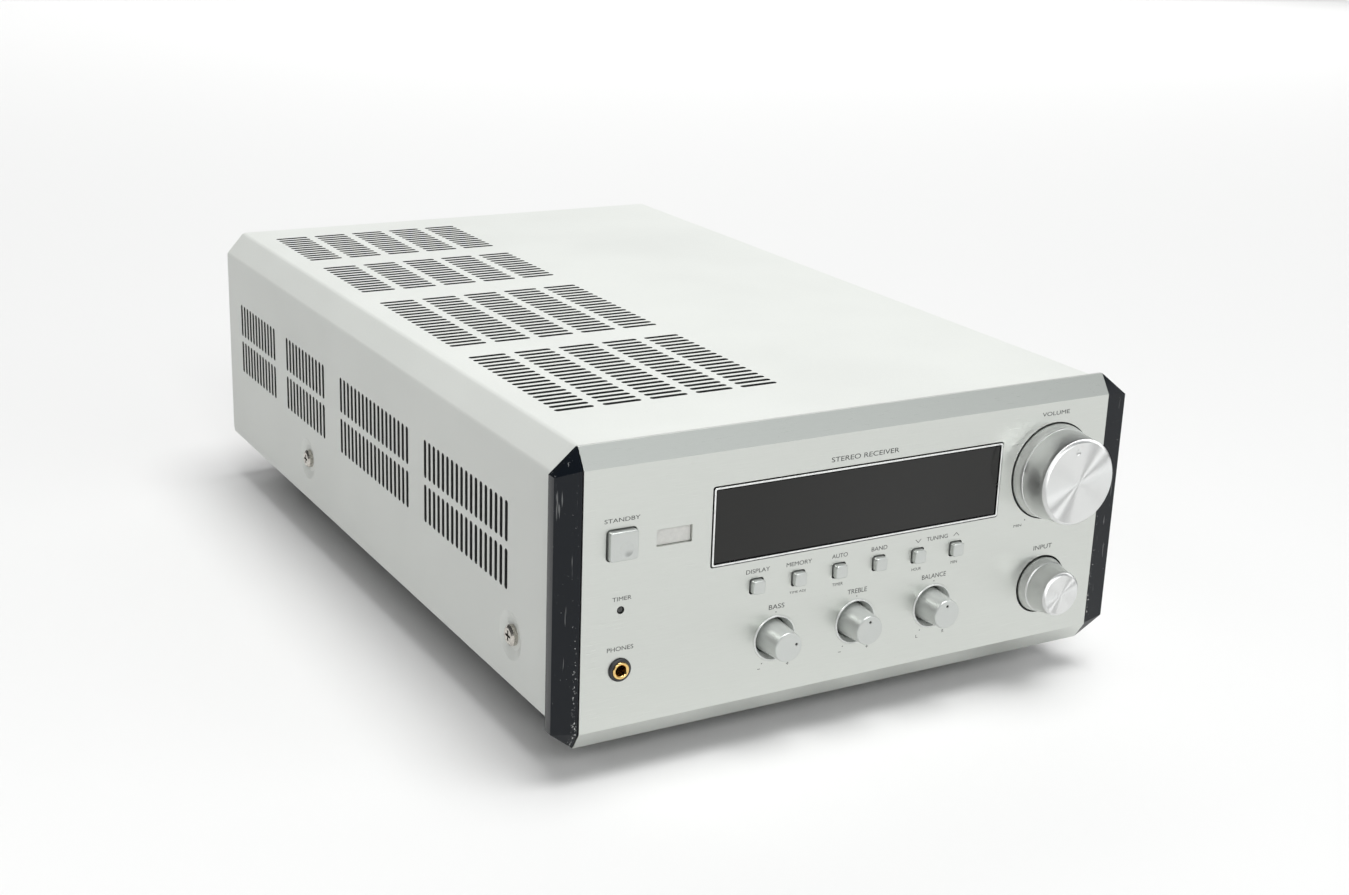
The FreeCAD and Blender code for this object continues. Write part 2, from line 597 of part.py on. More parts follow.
def rear_panel():
    """Flat plate inside the cover, with a cut-out for every socket."""
    y0, y1 = REAR_PLATE
    half, top = COVER_WIDTH / 2 - SHEET - 0.2, TOP - COVER_DROP - SHEET - 0.2
    foot = BOTTOM + BASE_CHAMFER
    right = [(95.0, BOTTOM + 1.2), (100.6, BOTTOM + 6.8), (half - 1.2, foot), (half - 1.2, 40.0),
             (half, 42.0), (half, top - 8.4), (half - 7.4, top)]
    plate = prism_y(right + [(-x, z) for x, z in reversed(right)], y0, y1)
    a, b = y0 - 1, y1 + 1
    ix, iz = INLET
    tools = [
        slab(ix, iz, 24.4, 14.4, 1.5, a, b),
        box(SPEAKER_X[0] - 4.5, SPEAKER_X[-1] + 4.5, a, b, BOTTOM + 22.0, BOTTOM + 48.0),
        rod_y(*AERIAL, a, b, 5.2),
        box(LOOP_AERIAL[0] - 7.1, LOOP_AERIAL[0] + 7.1, a, b, LOOP_AERIAL[1] - 4.6, LOOP_AERIAL[1] + 4.6),
    ]
    tools += [box(x - 6.6, x + 6.6, a, b, PHONO_Z[0] - 6.6, PHONO_Z[1] + 6.6) for x in PHONO_X]
    tools += [rod_y(x, z, a, b, SCREW_HOLE + 0.15) for x, z in REAR_SCREWS]
    for i in range(16):
        x, z0 = -84.0 + 4.6 * i, BOTTOM + 62.0
        tools.append(joined([box(x - 1.1, x + 1.1, a, b, z0, z0 + 22.0),
                             rod_y(x, z0, a, b, 1.1), rod_y(x, z0 + 22.0, a, b, 1.1)]))
    return cut_all(plate, tools)


def screw_along(origin, direction):
    """Pan-head cross-recess screw whose head's underside is at the origin; the shank runs along direction."""
    shank = Part.makeCylinder(SCREW_SHANK, 6.5, origin, direction)
    head = Part.makeCylinder(3.5, 1.3, origin - direction * 1.3, direction)
    crown = Part.makeCone(2.6, 3.5, 0.7, origin - direction * 2.0, direction)
    screw = joined([head, crown, shank])
    blade = Part.makeBox(3.6, 0.8, 1.4, V(-1.8, -0.4, 0)).fuse(Part.makeBox(0.8, 3.6, 1.4, V(-0.4, -1.8, 0)))
    blade.Placement = FreeCAD.Placement(origin - direction * 2.0, FreeCAD.Rotation(Z_AXIS, direction))
    return screw.cut(blade)


def cover_screws():
    floor = COVER_WIDTH / 2 - DIMPLE[2]
    screws = [screw_along(V(side * floor, at(depth), SIDE_SCREW_Z), V(-side, 0, 0))
              for side in (-1, 1) for depth in SIDE_SCREW_DEPTHS]
    screws += [screw_along(V(x, OUTSIDE, z), V(0, -1, 0)) for x, z in REAR_SCREWS]
    return Part.makeCompound(screws)


def feet():
    shapes = []
    for x, y in FEET:
        foot = Part.makeCone(11.0, 12.5, FOOT_HEIGHT - 1.2, V(x, y, 1.2), Z_AXIS)
        foot = foot.cut(rod_z(x, y, 0.0, 6.0, 4.5))
        shapes.append(foot.cut(rod_z(x, y, 5.0, FOOT_HEIGHT + 1, 1.6)))
    return Part.makeCompound(shapes)


def foot_pads():
    return Part.makeCompound([rod_z(x, y, 0, 1.2, 10.0).cut(rod_z(x, y, -1, 2, 4.5)) for x, y in FEET])


def foot_screws():
    return Part.makeCompound([screw_along(V(x, y, 6.0), Z_AXIS) for x, y in FEET])


# ---------------------------------------------------------------- inside the case
def main_board():
    z0 = BOTTOM + 6.0
    board = box(-34.0, 97.0, at(140.0), REAR - 12.0, z0, z0 + 1.6)
    chips = [box(x, x + w, at(d), at(d + l), z0 + 1.5, z0 + 5.0)
             for x, w, d, l in ((-10, 18, 200, 18), (30, 14, 240, 20), (0, 12, 260, 12), (50, 24, 180, 10))]
    header = box(-12.0, 18.0, at(146.0), at(151.0), z0 + 1.5, z0 + 7.0)
    return joined([board, header] + chips)


TRANSFORMER = (54.0, at(98.0), BOTTOM + 1.0 + 29.0)
LEG = 11.0                  # half width of the core's middle leg


def transformer_core():
    cx, cy, cz = TRANSFORMER
    core = box(cx - 34, cx + 34, cy - 16, cy + 16, cz - 28, cz + 28)
    windows = [box(cx + a, cx + b, cy - 17, cy + 17, cz - 17, cz + 17)
               for a, b in ((-LEG - 12, -LEG), (LEG, LEG + 12))]
    core = cut_all(core, windows)
    feet_plate = box(cx - 39, cx + 39, cy - 14, cy + 14, cz - 29, cz - 27.9)
    return joined([core, feet_plate])


def transformer_winding():
    cx, cy, cz = TRANSFORMER
    coil = box(cx - LEG - 11.6, cx + LEG + 11.6, cy - 27, cy + 27, cz - 16.6, cz + 16.6)
    upright = [e for e in coil.Edges if abs(e.tangentAt(e.FirstParameter).z) > 0.9]
    coil = coil.makeFillet(6.0, upright)
    return coil.cut(box(cx - LEG - 0.2, cx + LEG + 0.2, cy - 16.2, cy + 16.2, cz - 20, cz + 20))


HEAT_SINK_X = (-84.0, -47.0, -43.0)     # fin tips, base plate


def heat_sink():
    tip, plate0, plate1 = HEAT_SINK_X
    low, high = BOTTOM + 3.0, TOP - 16.0
    solids = [box(plate0, plate1, at(62.0), at(184.0), low, high)]
    solids += [box(tip, plate0 + 0.1, at(62.5 + 7.5 * i), at(64.0 + 7.5 * i), low + 4, high)
               for i in range(17)]
    return joined(solids)


def output_transistors():
    x = HEAT_SINK_X[2]
    return Part.makeCompound([
        box(x, x + 4.8, at(d), at(d + 16), BOTTOM + 45, BOTTOM + 65) for d in (72, 98, 134, 160)])


def capacitors():
    z0 = BOTTOM + 7.6
    big = [rod_z(x, at(180.0), z0, z0 + 36.0, 12.5) for x in (-16.0, 14.0)]
    small = [rod_z(x, at(d), z0, z0 + 16.0, 5.0)
             for x, d in ((-24, 230), (-24, 246), (20, 275), (36, 275), (86, 170), (86, 186))]
    return Part.makeCompound(big + small)


def power_parts():
    """Relay and fuse on the main board."""
    z0 = BOTTOM + 7.6
    relay = box(-30.0, -12.0, at(280.0), at(296.0), z0, z0 + 16.0)
    fuse = rod_x(at(304.0), z0 + 5.0, -28.0, -8.0, 2.6)
    clips = [box(x, x + 3, at(300.5), at(307.5), z0, z0 + 5.0) for x in (-27.0, -12.0)]
    return Part.makeCompound([relay, joined([fuse] + clips)])


def tuner_module():
    x0, x1 = AERIAL[0] - 9.0, AERIAL[0] + 9.0
    return box(x0, x1, REAR - 62.0, OUTSIDE - 6.0, BOTTOM + 7.6, BOTTOM + 82.0)


def ribbon_cable():
    """Flat cable from the front board down to the base, along it and up to the main board."""
    start, floor, end = BOTTOM + 14.5, BOTTOM + 3.0, BOTTOM + 12.0
    bend = 5.0
    near, far = at(BOARD[1] + 4.3), at(145.6)
    y1, y2 = near + 8.0, far - 12.0

    def arc(centre, from_angle, to_angle):
        points = [V(-11.0, centre[0] + bend * math.cos(math.radians(a)),
                    centre[1] + bend * math.sin(math.radians(a)))
                  for a in (from_angle, (from_angle + to_angle) / 2, to_angle)]
        return Part.Arc(*points).toShape()

    def line(p, q):
        return Part.LineSegment(V(-11.0, *p), V(-11.0, *q)).toShape()

    path = Part.Wire([
        line((near, start), (y1, start)),
        arc((y1, start - bend), 90, 0),
        line((y1 + bend, start - bend), (y1 + bend, floor + bend)),
        arc((y1 + 2 * bend, floor + bend), 180, 270),
        line((y1 + 2 * bend, floor), (y2 - bend, floor)),
        arc((y2 - bend, floor + bend), 270, 315),
    ])
    last = path.Edges[-1].Vertexes[-1].Point
    rise = end - last.z
    path = Part.Wire(list(path.Edges) + [line((last.y, last.z), (last.y + rise, end))])
    outline = path.makeOffset2D(0.25, 0, False, False, False)
    return Part.Face(outline).extrude(V(28.0, 0, 0))


# ---------------------------------------------------------------- rear sockets
def mains_inlet():
    """Two-pin inlet: flange outside the rear panel, body inside, a figure-eight recess and two pins."""
    x, z = INLET
    floor = OUTSIDE - 10.0
    flange = slab(x, z, 30.0, 19.0, 3.0, OUTSIDE, OUTSIDE + 2.0)
    body = slab(x, z, 24.0, 14.0, 1.5, floor - 2.5, OUTSIDE + 0.1)
    recess = joined([
        box(x - 4.15, x + 4.15, floor, OUTSIDE + 3, z - 3.8, z + 3.8),
        rod_y(x - 4.15, z, floor, OUTSIDE + 3, 3.8),
        rod_y(x + 4.15, z, floor, OUTSIDE + 3, 3.8),
    ])
    shell = joined([flange, body]).cut(recess)
    pins = [rod_y(x + s * 4.35, z, floor, OUTSIDE + 0.5, 1.2) for s in (-1, 1)]
    return Part.makeCompound([shell] + pins)


def phono_sockets():
    """Carrier of each pair, a plate outside and a block inside, with an insulating tube per socket."""
    low, high = PHONO_Z
    solids = []
    for x in PHONO_X:
        plate = slab(x, (low + high) / 2, 14.6, high - low + 14.6, 1.2, OUTSIDE, OUTSIDE + 1.5)
        block = box(x - 6.4, x + 6.4, OUTSIDE - 11.0, OUTSIDE + 0.1, low - 6.4, high + 6.4)
        seats = [rod_y(x, z, OUTSIDE - 12, OUTSIDE + 3, PHONO_NECK + 0.05) for z in PHONO_Z]
        solids.append(cut_all(joined([plate, block]), seats))
        for z in PHONO_Z:
            tube = rod_y(x, z, OUTSIDE + 0.1, OUTSIDE + 6.5, 3.3)
            solids.append(tube.cut(rod_y(x, z, OUTSIDE - 1, OUTSIDE + 8, PHONO_BORE)))
    return Part.makeCompound(solids)


def phono_shells():
    shells = []
    for x in PHONO_X:
        for z in PHONO_Z:
            tube = turned_rear(x, z, [
                (-PHONO_SINK, PHONO_NECK), (1.5, PHONO_NECK), (1.5, PHONO_RING), (8.5, PHONO_RING)])
            shells.append(tube.cut(rod_y(x, z, OUTSIDE - 7.0, OUTSIDE + 10, 3.4)))
    return Part.makeCompound(shells)


def speaker_block():
    """Four-way push terminal: a housing with a pocket for each lever, and a wire guide under each."""
    x0, x1 = SPEAKER_X[0] - 6.5, SPEAKER_X[-1] + 6.5
    face = OUTSIDE + SPEAKER_DEPTH
    py, pz = LEVER_PIVOT
    seam = pz - 3.4
    housing = box(x0, x1, OUTSIDE, face, seam, BOTTOM + 51.0)
    inner = box(SPEAKER_X[0] - 4.2, SPEAKER_X[-1] + 4.2, OUTSIDE - 9.0, OUTSIDE + 0.1,
                seam + 0.2, BOTTOM + 47.7)
    tools = []
    for x in SPEAKER_X:
        tools.append(box(x - 4.0, x + 4.0, OUTSIDE - 2.0, face + 1, pz - 2.4, pz + 15.0))
        tools.append(rod_x(py, pz, x - 4.9, x + 4.9, 0.98))
    solids = [cut_all(joined([housing, inner]), tools)]
    for x in SPEAKER_X:
        left = x0 if x == SPEAKER_X[0] else x - SPEAKER_PITCH / 2
        right = x1 if x == SPEAKER_X[-1] else x + SPEAKER_PITCH / 2
        guide = box(left, right, OUTSIDE, face, BOTTOM + 19.0, seam)
        solids.append(guide.cut(rod_y(x, WIRE_Z, OUTSIDE - 1, face + 1, 2.2)))
    return Part.makeCompound(solids)


def speaker_lever(x):
    """Thumb lever with its two stub axles, leaning out of its pocket at rest."""
    py, pz = LEVER_PIVOT
    hub = rod_x(py, pz, x - 3.7, x + 3.7, 1.9)
    axle = rod_x(py, pz, x - 4.8, x + 4.8, 0.9)
    tab = box(x - 3.7, x + 3.7, py - 1.1, py + 1.1, pz, pz + 13.4)
    ridges = [rod_x(py + 1.1, pz + h, x - 3.2, x + 3.2, 0.45) for h in (8.0, 9.8, 11.6)]
    lever = joined([hub, axle, tab] + ridges)
    lever.rotate(V(x, py, pz), X_AXIS, -LEVER_LEAN)
    return lever


def aerial_socket():
    """Threaded coaxial socket with a washer outside the rear panel."""
    x, z = AERIAL
    shell = turned_rear(x, z, [
        (-5.9, 4.5), (0.0, 4.5), (0.0, 7.0), (1.2, 7.0), (1.2, 4.75), (REARMOST - OUTSIDE - 0.4, 4.75),
        (REARMOST - OUTSIDE, 4.4)])
    shell = shell.cut(rod_y(x, z, OUTSIDE + 1.5, REARMOST + 1, 3.9))
    return joined([shell, rod_y(x, z, OUTSIDE + 1.0, OUTSIDE + 8.0, 1.15)])


def loop_aerial_socket():
    x, z = LOOP_AERIAL
    face = OUTSIDE + 2.5
    plate = slab(x, z, 17.0, 12.0, 1.0, OUTSIDE, face)
    body = box(x - 7.0, x + 7.0, OUTSIDE - 4.0, OUTSIDE + 0.1, z - 4.5, z + 4.5)
    holes = [box(x + s * 3.6 - 1.1, x + s * 3.6 + 1.1, OUTSIDE - 3.0, face + 1, z - 1.7, z + 1.7)
             for s in (-1, 1)]
    return cut_all(joined([plate, body]), holes)


# ---------------------------------------------------------------- everything
def main():
    os.makedirs("parts", exist_ok=True)
    write("front_panel", front_panel())
    write("left_corner_trim", corner_trim(-1))
    write("right_corner_trim", corner_trim(1))
    for make in (display_bezel, display_window, display_module, sensor_window, timer_led, tone_rings,
                 front_subframe, front_board, tact_switches, volume_knob, volume_pot, input_knob,
                 input_encoder, tone_pots, headphone_jack, headphone_contact, top_cover, chassis_base,
                 rear_panel, cover_screws, feet, foot_pads, foot_screws, main_board, transformer_core,
                 transformer_winding, heat_sink, output_transistors, capacitors, power_parts,
                 tuner_module, ribbon_cable, mains_inlet, phono_sockets, phono_shells, speaker_block,
                 aerial_socket, loop_aerial_socket):
        write(make.__name__, make())
    write("volume_shaft", shaft(KNOB_COLUMN, VOLUME_Z, -8.8, 19.4))
    write("input_shaft", shaft(KNOB_COLUMN, LOW_ROW_Z, -7.8, 15.4))
    for name, x in TONE_X.items():
        write(name + "_knob", tone_knob(name))
        write(name + "_shaft", shaft(x, LOW_ROW_Z, -5.3, 16.4))
    write("standby_button", button(*STANDBY, 9.5, 9.3, 2.2, dimple=(0.6, -1.1, 2.4, 0.5)))
    for name, x in zip(BUTTON_NAMES, BUTTON_X):
        write(name, button(x, BUTTON_Z, 4.4, 4.5, 2.2))
    for name, x in zip(SPEAKER_NAMES, SPEAKER_X):
        write(name, speaker_lever(x))


main()
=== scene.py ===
"""Looks of the half-width stereo receiver: materials, printed legends, lights and camera
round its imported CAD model. Edge widths, bump depths and all measures of the printed marks are
in millimetres, every other length in metres.
"""
import math

import bpy
import bmesh
from mathutils import Matrix, Vector


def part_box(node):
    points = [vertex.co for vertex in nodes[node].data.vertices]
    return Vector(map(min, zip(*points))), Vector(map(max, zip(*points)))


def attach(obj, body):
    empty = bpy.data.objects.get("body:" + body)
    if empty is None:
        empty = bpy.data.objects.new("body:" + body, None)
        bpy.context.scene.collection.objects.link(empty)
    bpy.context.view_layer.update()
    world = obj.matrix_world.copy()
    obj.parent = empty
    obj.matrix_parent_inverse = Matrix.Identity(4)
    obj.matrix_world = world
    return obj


MM = 0.001
BRUSHED_ALONG = (1.0, 0.0, 0.0)
NOISE_RANGE = (0.3, 0.7)        # nearly all values of a noise texture lie between these

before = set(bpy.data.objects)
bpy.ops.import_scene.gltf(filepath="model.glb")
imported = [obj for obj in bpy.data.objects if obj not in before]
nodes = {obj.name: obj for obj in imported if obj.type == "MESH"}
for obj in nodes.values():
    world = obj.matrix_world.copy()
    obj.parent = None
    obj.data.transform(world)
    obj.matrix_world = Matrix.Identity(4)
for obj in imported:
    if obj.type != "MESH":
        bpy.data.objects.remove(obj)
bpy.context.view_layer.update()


# ---------------------------------------------------------------- places taken from the frame
def middle(node):
    low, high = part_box(node)
    return (low + high) / 2


FASCIA_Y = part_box("front_panel")[0].y
FASCIA_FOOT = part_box("front_panel")[0].z / MM
REAR_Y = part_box("rear_panel")[1].y
TONE_REST = {"bass_knob": 77.0, "treble_knob": 0.0, "balance_knob": -3.0}    # degrees from the top
TONE_KNOBS = tuple(TONE_REST)
SHAFTS = ("volume_shaft", "input_shaft", "bass_shaft", "treble_shaft", "balance_shaft")
BUTTONS = ("display_button", "memory_button", "auto_button",
           "band_button", "preset_down_button", "preset_up_button")

SOFT_BLACK = (0.022, 0.022, 0.024)
SILVER = (0.60, 0.62, 0.60)
KNOB_ALUMINIUM = (0.90, 0.91, 0.90)
SLOT_SHADE = (0.035, 0.036, 0.036)


# ---------------------------------------------------------------- material building
def scaled(colour, factor, lift=0.0):
    return [part * factor + lift for part in colour]


class Finish:
    """A Principled material with short calls for the nodes that feed it."""

    def __init__(self, name, colour, roughness, metallic=0.0, **sockets):
        self.material = bpy.data.materials.new(name)
        self.material.use_nodes = True
        self.tree = self.material.node_tree
        self.shader = self.tree.nodes["Principled BSDF"]
        self.colour = (*colour, 1.0)
        self.shader.inputs["Base Color"].default_value = self.colour
        self.shader.inputs["Roughness"].default_value = roughness
        self.shader.inputs["Metallic"].default_value = metallic
        for key, value in sockets.items():
            socket = key.replace("_", " ").title().replace("Ior", "IOR")
            self.shader.inputs[socket].default_value = value

    def node(self, kind, **inputs):
        made = self.tree.nodes.new("ShaderNode" + kind)
        for key, value in inputs.items():
            self.feed(made, key, value)
        return made

    def feed(self, node, key, value):
        """Set or link an input; a key such as _0 stands for the input's number."""
        socket = node.inputs[int(key[1:]) if key[0] == "_" else key.replace("_", " ")]
        if isinstance(value, bpy.types.NodeSocket):
            self.tree.links.new(value, socket)
        else:
            socket.default_value = value

    def place(self, scale=(1, 1, 1), turn=(0, 0, 0)):
        """Position in the frame, in metres, stretched by scale."""
        where = self.node("TexCoord").outputs["Object"]
        mapping = self.node("Mapping", Vector=where, Scale=scale, Rotation=turn)
        return mapping.outputs[0]

    def noise(self, scale, detail=3.0, roughness=0.55, vector=None):
        vector = vector or self.place()
        made = self.node("TexNoise", Vector=vector, Scale=scale, Detail=detail, Roughness=roughness)
        return made.outputs["Fac"]

    def maths(self, operation, a, b=0.0, c=0.0, clamp=False):
        made = self.node("Math", _0=a, _1=b, _2=c)
        made.operation = operation
        made.use_clamp = clamp
        return made.outputs[0]

    def spread(self, value, low, high, to_low=0.0, to_high=1.0):
        made = self.node("MapRange", Value=value, From_Min=low, From_Max=high,
                         To_Min=to_low, To_Max=to_high)
        return made.outputs[0]

    def mix(self, factor, first, second):
        made = self.node("Mix")
        made.data_type = "RGBA"
        for key, value in (("Factor", factor), ("A", first), ("B", second)):
            sockets = [s for s in made.inputs if s.name == key]
            socket = sockets[0] if key == "Factor" else sockets[2]
            if isinstance(value, bpy.types.NodeSocket):
                self.tree.links.new(value, socket)
            else:
                socket.default_value = value if key == "Factor" else (*value[:3], 1.0)
        return made.outputs[2]

    def overlay(self, mask, colour):
        """Lay another colour over what already feeds the base colour, where the mask is 1."""
        beneath = self.shader.inputs["Base Color"].links[0].from_socket
        self.feed(self.shader, "Base Color", self.mix(mask, beneath, colour))

    def axis(self, which):
        where = self.node("TexCoord").outputs["Object"]
        split = self.node("SeparateXYZ", Vector=where)
        return split.outputs["XYZ".index(which)]

    def bump(self, height, distance_mm, strength=1.0):
        made = self.node("Bump", Height=height, Distance=distance_mm * MM, Strength=strength)
        self.feed(self.shader, "Normal", made.outputs[0])

    def grain(self, direction):
        """Stretch highlights across a direction given in the object's own axes."""
        turned = self.node("VectorTransform", Vector=direction)
        turned.vector_type = "VECTOR"
        turned.convert_from = "OBJECT"
        turned.convert_to = "WORLD"
        self.feed(self.shader, "Tangent", turned.outputs[0])

    def vary_roughness(self, value, low, high):
        """Let the roughness run from low to high with a noise."""
        self.feed(self.shader, "Roughness", self.spread(value, *NOISE_RANGE, low, high))

    def tint(self, factor, other, low=0.35, high=0.65):
        """Drift from the base colour to another one as factor goes from low to high."""
        mask = self.spread(factor, low, high)
        self.feed(self.shader, "Base Color", self.mix(mask, self.colour, other))


SHEET_MIDDLE = 0.5 * MM         # from the cover's outer face to the middle of its sheet
SHEET_REACH = 0.7 * MM          # from there to a little past either face
SIDE_FLAT = (0.060, 0.037)      # middle and half height of a side between its bends
TOP_FLAT_HALF = 0.096           # half width of the top between its bends
CUT_END = 1.0 * MM              # left out at the front and rear edges of the cover
ACROSS = 0.3                    # a normal with less than this share of an axis lies across it


def punched_edges(f):
    """Mask of the walls of the slots punched through the cover's top and sides, which are given a painted
    shade.
    """
    low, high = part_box("top_cover")
    sideways, upwards = (f.maths("ABSOLUTE", f.axis(which)) for which in "XZ")
    in_side_sheet = f.maths("COMPARE", sideways, high.x - SHEET_MIDDLE, SHEET_REACH)
    in_top_sheet = f.maths("COMPARE", upwards, high.z - SHEET_MIDDLE, SHEET_REACH)
    on_side = f.maths("MULTIPLY", in_side_sheet, f.maths("COMPARE", upwards, *SIDE_FLAT))
    on_top = f.maths("MULTIPLY", in_top_sheet, f.maths("COMPARE", sideways, 0.0, TOP_FLAT_HALF))
    normal = f.node("SeparateXYZ", Vector=f.node("TexCoord").outputs["Normal"])
    side_wall = f.maths("LESS_THAN", f.maths("ABSOLUTE", normal.outputs[0]), ACROSS)
    top_wall = f.maths("LESS_THAN", f.maths("ABSOLUTE", normal.outputs[2]), ACROSS)
    wall = f.maths("MAXIMUM", f.maths("MULTIPLY", on_side, side_wall),
                   f.maths("MULTIPLY", on_top, top_wall))
    half_depth = (high.y - low.y) / 2 - CUT_END
    within = f.maths("COMPARE", f.axis("Y"), (low.y + high.y) / 2, half_depth)
    return f.maths("MULTIPLY", wall, within)


def satin_paint(name, colour, metallic=0.0, roughness=0.42, painted_shade_mask=None):
    """Silver paint: fine flake, faint orange peel and slow drift in tone. A shade mask, if given, marks
    the parts that stay in shadow, and a dark painted shade is laid over them.
    """
    f = Finish(name, colour, roughness, metallic, specular_ior_level=0.3)
    flake = f.noise(scale=5200.0, detail=2.0)
    slow = f.noise(scale=14.0, detail=2.0)
    drift = f.maths("ADD", f.maths("MULTIPLY", flake, 0.5), f.maths("MULTIPLY", slow, 0.5))
    f.vary_roughness(flake, roughness - 0.05, roughness + 0.07)
    f.tint(drift, scaled(colour, 0.93), low=0.40, high=0.62)
    f.bump(f.noise(scale=1900.0), distance_mm=0.012, strength=0.5)
    if painted_shade_mask:
        # painted shade: the slot walls are coloured dark to stand for the shadow inside the slots
        f.overlay(painted_shade_mask(f), SLOT_SHADE)
    return f.material


def brushed_metal(name, colour, roughness=0.30):
    """Anodised aluminium brushed along X."""
    f = Finish(name, colour, roughness, 1.0, anisotropic=0.65)
    along = f.place(scale=(120.0, 14000.0, 14000.0))
    lines = f.noise(scale=1.0, detail=5.0, roughness=0.6, vector=along)
    f.vary_roughness(lines, roughness - 0.03, roughness + 0.04)
    f.tint(lines, scaled(colour, 0.96), low=0.36, high=0.62)
    f.bump(lines, distance_mm=0.001, strength=0.3)
    f.grain(BRUSHED_ALONG)
    return f.material


def turned_metal(name, centre, colour, roughness=0.40):
    """Aluminium turned on a lathe about a line along Y through centre: the grooves are rings
    on its face and run round its side.
    """
    f = Finish(name, colour, roughness, 1.0, anisotropic=1.0)
    where = f.node("TexCoord").outputs["Object"]
    offset = f.node("VectorMath", _0=where, _1=tuple(centre))
    offset.operation = "SUBTRACT"
    around = f.node("VectorMath", _0=(0.0, 1.0, 0.0), _1=offset.outputs[0])
    around.operation = "CROSS_PRODUCT"
    f.grain(around.outputs[0])
    radius = f.node("VectorMath", _0=around.outputs[0])
    radius.operation = "LENGTH"
    depth = f.node("SeparateXYZ", Vector=offset.outputs[0]).outputs[1]
    facing = f.node("SeparateXYZ", Vector=f.node("TexCoord").outputs["Normal"]).outputs[1]
    on_face = f.maths("GREATER_THAN", f.maths("ABSOLUTE", facing), 0.7)
    on_side = f.maths("SUBTRACT", 1.0, on_face)
    groove = f.node("CombineXYZ", X=f.maths("MULTIPLY", radius.outputs["Value"], on_face),
                    Y=f.maths("MULTIPLY", depth, on_side))
    fine = f.noise(scale=9000.0, roughness=0.6, vector=groove.outputs[0])
    f.vary_roughness(fine, roughness - 0.03, roughness + 0.04)
    f.tint(fine, scaled(colour, 0.92))
    f.bump(fine, distance_mm=0.001, strength=0.3)
    return f.material


def moulded_plastic(name, colour, roughness=0.45, grain=2600.0, depth_mm=0.02):
    f = Finish(name, colour, roughness)
    grains = f.noise(grain)
    f.vary_roughness(grains, roughness - 0.06, roughness + 0.08)
    f.tint(f.noise(scale=90.0), scaled(colour, 1.25, lift=0.003))
    f.bump(grains, depth_mm, strength=0.5)
    return f.material


def plated_metal(name, colour, roughness=0.30, cloud=240.0):
    f = Finish(name, colour, roughness, 1.0)
    clouds = f.noise(cloud, detail=4.0)
    f.vary_roughness(clouds, roughness - 0.08, roughness + 0.10)
    f.tint(clouds, scaled(colour, 0.82))
    f.bump(f.noise(cloud * 9, detail=2.0), distance_mm=0.004, strength=0.4)
    return f.material


SEAM_INSET = 1.25 * MM          # from the trim's inner edge to the seam that is worn and carries a painted reflection
SEAM_WEAR_AND_SHEEN = 1.3 * MM            # how far the wear and the painted reflection reach from the seam
SEAM_WEAR_AND_SHEEN_HEIGHTS = (0.075, 0.018)   # the seam's wear and painted reflection start at the first height and are full at the second


def gloss_black_trim():
    """Gloss black corner caps: hairline scratches, and light chips that gather low down along the seam
    with the fascia, partly wear and partly a painted reflection along the seam.
    """
    f = Finish("gloss_black_trim", (0.004, 0.006, 0.009), 0.16, specular_ior_level=0.24)
    slanted = f.place(scale=(900.0, 900.0, 60.0), turn=(0.2, 0.1, 0.3))
    hair = f.spread(f.noise(scale=1.0, detail=2.0, roughness=0.5, vector=slanted), 0.69, 0.72)
    seam_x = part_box("left_corner_trim")[1].x - SEAM_INSET
    off_seam = f.maths("ABSOLUTE", f.maths("ADD", f.maths("ABSOLUTE", f.axis("X")), seam_x))
    near_seam = f.spread(off_seam, 0.0, SEAM_WEAR_AND_SHEEN, 1.0, 0.0)
    low_down = f.spread(f.axis("Z"), *SEAM_WEAR_AND_SHEEN_HEIGHTS)
    # partly wear, partly painted reflection: light chips crowd along the seam low down
    seam_wear_and_sheen = f.maths("MULTIPLY", near_seam, f.maths("MULTIPLY", low_down, 0.16))
    chips_and_seam_sheen = f.noise(scale=1500.0, detail=4.0, roughness=0.65)
    chips_and_seam_sheen = f.spread(f.maths("ADD", chips_and_seam_sheen, seam_wear_and_sheen), 0.70, 0.74)
    wear_and_seam_sheen = f.maths("MAXIMUM", f.maths("MULTIPLY", hair, 0.25), chips_and_seam_sheen, clamp=True)
    f.feed(f.shader, "Base Color", f.mix(wear_and_seam_sheen, f.colour, (0.52, 0.53, 0.52)))
    f.feed(f.shader, "Roughness", f.spread(wear_and_seam_sheen, 0.0, 1.0, 0.13, 0.5))
    f.bump(f.noise(scale=260.0, detail=2.0), distance_mm=0.01, strength=0.25)
    return f.material


def smoked_window():
    """Nearly black acrylic with a gloss that hardly varies."""
    f = Finish("smoked_window", (0.005, 0.005, 0.004), 0.07, specular_ior_level=0.42)
    upright = f.place(scale=(12.0, 12.0, 3.0))
    f.tint(f.noise(scale=1.0, detail=2.0, roughness=0.5, vector=upright), (0.010, 0.010, 0.009))
    f.vary_roughness(f.noise(scale=30.0), 0.05, 0.10)
    return f.material


def frosted_pane():
    """Milky plastic over the remote-control sensor."""
    f = Finish("frosted_pane", (0.68, 0.68, 0.65), 0.42, subsurface_weight=0.3)
    f.shader.inputs["Subsurface Radius"].default_value = (2 * MM, 2 * MM, 2 * MM)
    f.tint(f.noise(scale=700.0), (0.62, 0.62, 0.595))
    f.bump(f.noise(scale=3000.0, detail=2.0), distance_mm=0.01, strength=0.4)
    return f.material


